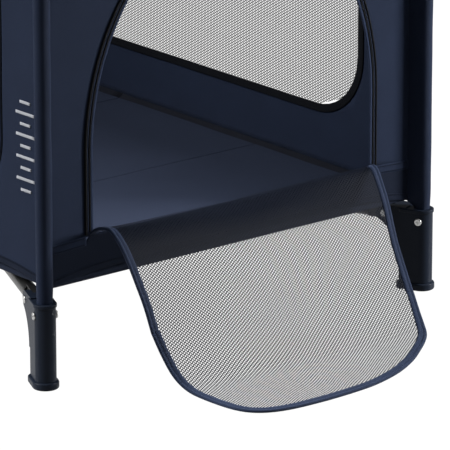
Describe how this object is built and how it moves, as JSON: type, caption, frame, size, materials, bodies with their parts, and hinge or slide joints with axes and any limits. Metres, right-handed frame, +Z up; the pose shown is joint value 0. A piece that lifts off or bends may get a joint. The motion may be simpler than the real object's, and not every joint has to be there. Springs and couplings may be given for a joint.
{
  "type": "travel play yard",
  "caption": "Folding travel play yard with corner boots, hinged top rails and base hub, fabric walls with a zipped arched door hanging open at one end, and a folding mattress.",
  "frame": {"origin": "on the floor under the centre of the hub's foot, at the centre of the four legs", "axes": "+Z up, +Y along the yard from the door end to the back end, +X to the right seen from the door"},
  "size_m": [0.66, 1.5, 0.772],
  "materials": {
    "button": "satin moulded",
    "fastener": "zinc plated",
    "hub": "satin moulded",
    "mattress": "woven polyester over foam",
    "mesh": "open knitted mesh",
    "moulding": "satin moulded",
    "pad_fabric": "padded woven polyester",
    "tube": "satin powder coat",
    "wall_fabric": "coated polyester, fine weave",
    "webbing": "woven webbing",
    "zip": "coil zip"
  },
  "bodies": {
    "leg_front_left": {"leg_tube_front_left": "tube", "boot_front_left": "moulding", "corner_bracket_front_left": "moulding", "leg_fasteners_front_left": "fastener", "wall_front": "wall_fabric", "wall_left": "wall_fabric", "floor_cloth": "wall_fabric"},
    "leg_front_right": {"leg_tube_front_right": "tube", "boot_front_right": "moulding", "corner_bracket_front_right": "moulding", "leg_fasteners_front_right": "fastener", "wall_right": "wall_fabric"},
    "leg_back_left": {"leg_tube_back_left": "tube", "boot_back_left": "moulding", "corner_bracket_back_left": "moulding", "leg_fasteners_back_left": "fastener", "wall_back": "wall_fabric"},
    "leg_back_right": {"leg_tube_back_right": "tube", "boot_back_right": "moulding", "corner_bracket_back_right": "moulding", "leg_fasteners_back_right": "fastener"},
    "base_front_left": {"base_tube_front_left": "tube"},
    "base_front_right": {"base_tube_front_right": "tube"},
    "base_back_left": {"base_tube_back_left": "tube"},
    "base_back_right": {"base_tube_back_right": "tube"},
    "hub": {"hub": "hub", "hub_pins": "fastener", "hub_strap": "webbing"},
    "rail_front_left": {"rail_front_left": "tube"},
    "rail_left_front": {"rail_left_front": "tube"},
    "rail_front_right": {"rail_front_right": "tube"},
    "rail_right_front": {"rail_right_front": "tube"},
    "rail_back_left": {"rail_back_left": "tube"},
    "rail_left_back": {"rail_left_back": "tube"},
    "rail_back_right": {"rail_back_right": "tube"},
    "rail_right_back": {"rail_right_back": "tube"},
    "latch_front": {"latch_housing_front": "moulding", "latch_pins_front": "fastener", "latch_spring_front": "fastener"},
    "latch_back": {"latch_housing_back": "moulding", "latch_pins_back": "fastener", "latch_spring_back": "fastener"},
    "latch_left": {"latch_housing_left": "moulding", "latch_pins_left": "fastener", "latch_spring_left": "fastener"},
    "latch_right": {"latch_housing_right": "moulding", "latch_pins_right": "fastener", "latch_spring_right": "fastener"},
    "button_front": {"latch_button_front": "button"},
    "button_back": {"latch_button_back": "button"},
    "button_left": {"latch_button_left": "button"},
    "button_right": {"latch_button_right": "button"},
    "mattress_2": {"mattress_panel_2": "mattress"},
    "mattress_1": {"mattress_panel_1": "mattress"},
    "mattress_3": {"mattress_panel_3": "mattress"},
    "mattress_4": {"mattress_panel_4": "mattress"},
    "door_upper": {"door_flap_upper": "mesh"},
    "door_lower": {"door_flap_lower": "mesh"},
    "zip_left": {"zip_slider_left": "zip"},
    "zip_right": {"zip_slider_right": "zip"}
  },
  "joints": [
    {"name": "fold", "type": "hinge", "parent": "leg_front_left", "child": "base_front_left", "pos_m": [-0.29268, -0.56432, 0.101], "axis": [0.9137, -0.4065, 0], "range_deg": [0, 86], "deforming": ["wall_front", "wall_back", "wall_left", "wall_right", "floor_cloth", "mattress_panel_1", "mattress_panel_2", "mattress_panel_3", "mattress_panel_4"]},
    {"name": "hub_tilt", "type": "hinge", "parent": "base_front_left", "child": "hub", "pos_m": [-0.05468, -0.02932, 0.101], "axis": [-0.9137, 0.4065, 0], "range_deg": [0, 86]},
    {"name": "base_swing_front_right", "type": "hinge", "parent": "hub", "child": "base_front_right", "pos_m": [0.05468, -0.02932, 0.101], "axis": [0.9137, 0.4065, 0], "range_deg": [0, 86]},
    {"name": "leg_swing_front_right", "type": "hinge", "parent": "base_front_right", "child": "leg_front_right", "pos_m": [0.29268, -0.56432, 0.101], "axis": [-0.9137, -0.4065, 0], "range_deg": [0, 86]},
    {"name": "base_swing_back_left", "type": "hinge", "parent": "hub", "child": "base_back_left", "pos_m": [-0.05468, 0.02932, 0.101], "axis": [-0.9137, -0.4065, 0], "range_deg": [0, 86]},
    {"name": "leg_swing_back_left", "type": "hinge", "parent": "base_back_left", "child": "leg_back_left", "pos_m": [-0.29268, 0.56432, 0.101], "axis": [0.9137, 0.4065, 0], "range_deg": [0, 86]},
    {"name": "base_swing_back_right", "type": "hinge", "parent": "hub", "child": "base_back_right", "pos_m": [0.05468, 0.02932, 0.101], "axis": [-0.9137, 0.4065, 0], "range_deg": [0, 86]},
    {"name": "leg_swing_back_right", "type": "hinge", "parent": "base_back_right", "child": "leg_back_right", "pos_m": [0.29268, 0.56432, 0.101], "axis": [0.9137, -0.4065, 0], "range_deg": [0, 86]},
    {"name": "rail_front_left_drop", "type": "hinge", "parent": "leg_front_left", "child": "rail_front_left", "pos_m": [-0.268, -0.61, 0.745], "axis": [0, 1, 0], "range_deg": [0, 86]},
    {"name": "rail_left_front_drop", "type": "hinge", "parent": "leg_front_left", "child": "rail_left_front", "pos_m": [-0.313, -0.565, 0.745], "axis": [-1, 0, 0], "range_deg": [0, 86]},
    {"name": "rail_front_right_drop", "type": "hinge", "parent": "leg_front_right", "child": "rail_front_right", "pos_m": [0.268, -0.61, 0.745], "axis": [0, -1, 0], "range_deg": [0, 86]},
    {"name": "rail_right_front_drop", "type": "hinge", "parent": "leg_front_right", "child": "rail_right_front", "pos_m": [0.313, -0.565, 0.745], "axis": [-1, 0, 0], "range_deg": [0, 86]},
    {"name": "rail_back_left_drop", "type": "hinge", "parent": "leg_back_left", "child": "rail_back_left", "pos_m": [-0.268, 0.61, 0.745], "axis": [0, 1, 0], "range_deg": [0, 86]},
    {"name": "rail_left_back_drop", "type": "hinge", "parent": "leg_back_left", "child": "rail_left_back", "pos_m": [-0.313, 0.565, 0.745], "axis": [1, 0, 0], "range_deg": [0, 86]},
    {"name": "rail_back_right_drop", "type": "hinge", "parent": "leg_back_right", "child": "rail_back_right", "pos_m": [0.268, 0.61, 0.745], "axis": [0, -1, 0], "range_deg": [0, 86]},
    {"name": "rail_right_back_drop", "type": "hinge", "parent": "leg_back_right", "child": "rail_right_back", "pos_m": [0.313, 0.565, 0.745], "axis": [1, 0, 0], "range_deg": [0, 86]},
    {"name": "latch_tilt_front", "type": "hinge", "parent": "rail_front_left", "child": "latch_front", "pos_m": [-0.03, -0.61, 0.745], "axis": [0, -1, 0], "range_deg": [0, 86]},
    {"name": "latch_tilt_back", "type": "hinge", "parent": "rail_back_left", "child": "latch_back", "pos_m": [-0.03, 0.61, 0.745], "axis": [0, -1, 0], "range_deg": [0, 86]},
    {"name": "latch_tilt_left", "type": "hinge", "parent": "rail_left_front", "child": "latch_left", "pos_m": [-0.313, -0.03, 0.745], "axis": [1, 0, 0], "range_deg": [0, 86]},
    {"name": "latch_tilt_right", "type": "hinge", "parent": "rail_right_front", "child": "latch_right", "pos_m": [0.313, -0.03, 0.745], "axis": [1, 0, 0], "range_deg": [0, 86]},
    {"name": "press_front", "type": "slide", "parent": "latch_front", "child": "button_front", "axis": [0, 0, 1], "range_m": [0, 0.006], "stiffness_N_per_m": 400, "springref_m": -0.003, "deforming": ["latch_spring_front"]},
    {"name": "press_back", "type": "slide", "parent": "latch_back", "child": "button_back", "axis": [0, 0, 1], "range_m": [0, 0.006], "stiffness_N_per_m": 400, "springref_m": -0.003, "deforming": ["latch_spring_back"]},
    {"name": "press_left", "type": "slide", "parent": "latch_left", "child": "button_left", "axis": [0, 0, 1], "range_m": [0, 0.006], "stiffness_N_per_m": 400, "springref_m": -0.003, "deforming": ["latch_spring_left"]},
    {"name": "press_right", "type": "slide", "parent": "latch_right", "child": "button_right", "axis": [0, 0, 1], "range_m": [0, 0.006], "stiffness_N_per_m": 400, "springref_m": -0.003, "deforming": ["latch_spring_right"]},
    {"name": "mattress_lift", "type": "slide", "parent": "hub", "child": "mattress_2", "axis": [0, 0, 1], "range_m": [0, 0.1006]},
    {"name": "mattress_fold_front", "type": "hinge", "parent": "mattress_2", "child": "mattress_1", "pos_m": [0, -0.296, 0.1325], "axis": [-1, 0, 0], "range_deg": [0, 90]},
    {"name": "mattress_fold_middle", "type": "hinge", "parent": "mattress_2", "child": "mattress_3", "pos_m": [0, 0, 0.1325], "axis": [1, 0, 0], "range_deg": [0, 90]},
    {"name": "mattress_fold_back", "type": "hinge", "parent": "mattress_3", "child": "mattress_4", "pos_m": [0, 0.296, 0.1325], "axis": [1, 0, 0], "range_deg": [0, 90]},
    {"name": "door_close", "type": "hinge", "parent": "leg_front_left", "child": "door_upper", "pos_m": [0, -0.598, 0.1815], "axis": [-1, 0, 0], "range_deg": [0, 137], "deforming": ["door_flap_upper", "door_flap_lower"]},
    {"name": "door_bend", "type": "hinge", "parent": "door_upper", "child": "door_lower", "pos_m": [0, -0.7005, 0.078], "axis": [-1, 0, 0], "range_deg": [-27, 0]},
    {"name": "zip_run_left", "type": "slide", "parent": "leg_front_left", "child": "zip_left", "axis": [0, 0, 1], "range_m": [0, 0.09]},
    {"name": "zip_run_right", "type": "slide", "parent": "leg_front_right", "child": "zip_right", "axis": [0, 0, 1], "range_m": [0, 0.09]}
  ],
  "couplings": [
    {"joint": "hub_tilt", "follows": "fold", "ratio": 1},
    {"joint": "base_swing_front_right", "follows": "fold", "ratio": 1},
    {"joint": "leg_swing_front_right", "follows": "fold", "ratio": 1},
    {"joint": "base_swing_back_left", "follows": "fold", "ratio": 1},
    {"joint": "leg_swing_back_left", "follows": "fold", "ratio": 1},
    {"joint": "base_swing_back_right", "follows": "fold", "ratio": 1},
    {"joint": "leg_swing_back_right", "follows": "fold", "ratio": 1},
    {"joint": "rail_front_left_drop", "follows": "fold", "ratio": 1},
    {"joint": "rail_left_front_drop", "follows": "fold", "ratio": 1},
    {"joint": "rail_front_right_drop", "follows": "fold", "ratio": 1},
    {"joint": "rail_right_front_drop", "follows": "fold", "ratio": 1},
    {"joint": "rail_back_left_drop", "follows": "fold", "ratio": 1},
    {"joint": "rail_left_back_drop", "follows": "fold", "ratio": 1},
    {"joint": "rail_back_right_drop", "follows": "fold", "ratio": 1},
    {"joint": "rail_right_back_drop", "follows": "fold", "ratio": 1},
    {"joint": "latch_tilt_front", "follows": "fold", "ratio": 1},
    {"joint": "latch_tilt_back", "follows": "fold", "ratio": 1},
    {"joint": "latch_tilt_left", "follows": "fold", "ratio": 1},
    {"joint": "latch_tilt_right", "follows": "fold", "ratio": 1},
    {"joint": "mattress_lift", "follows": "fold", "m_per_rad": 0.0667},
    {"joint": "door_bend", "follows": "door_close", "ratio": -0.195}
  ]
}
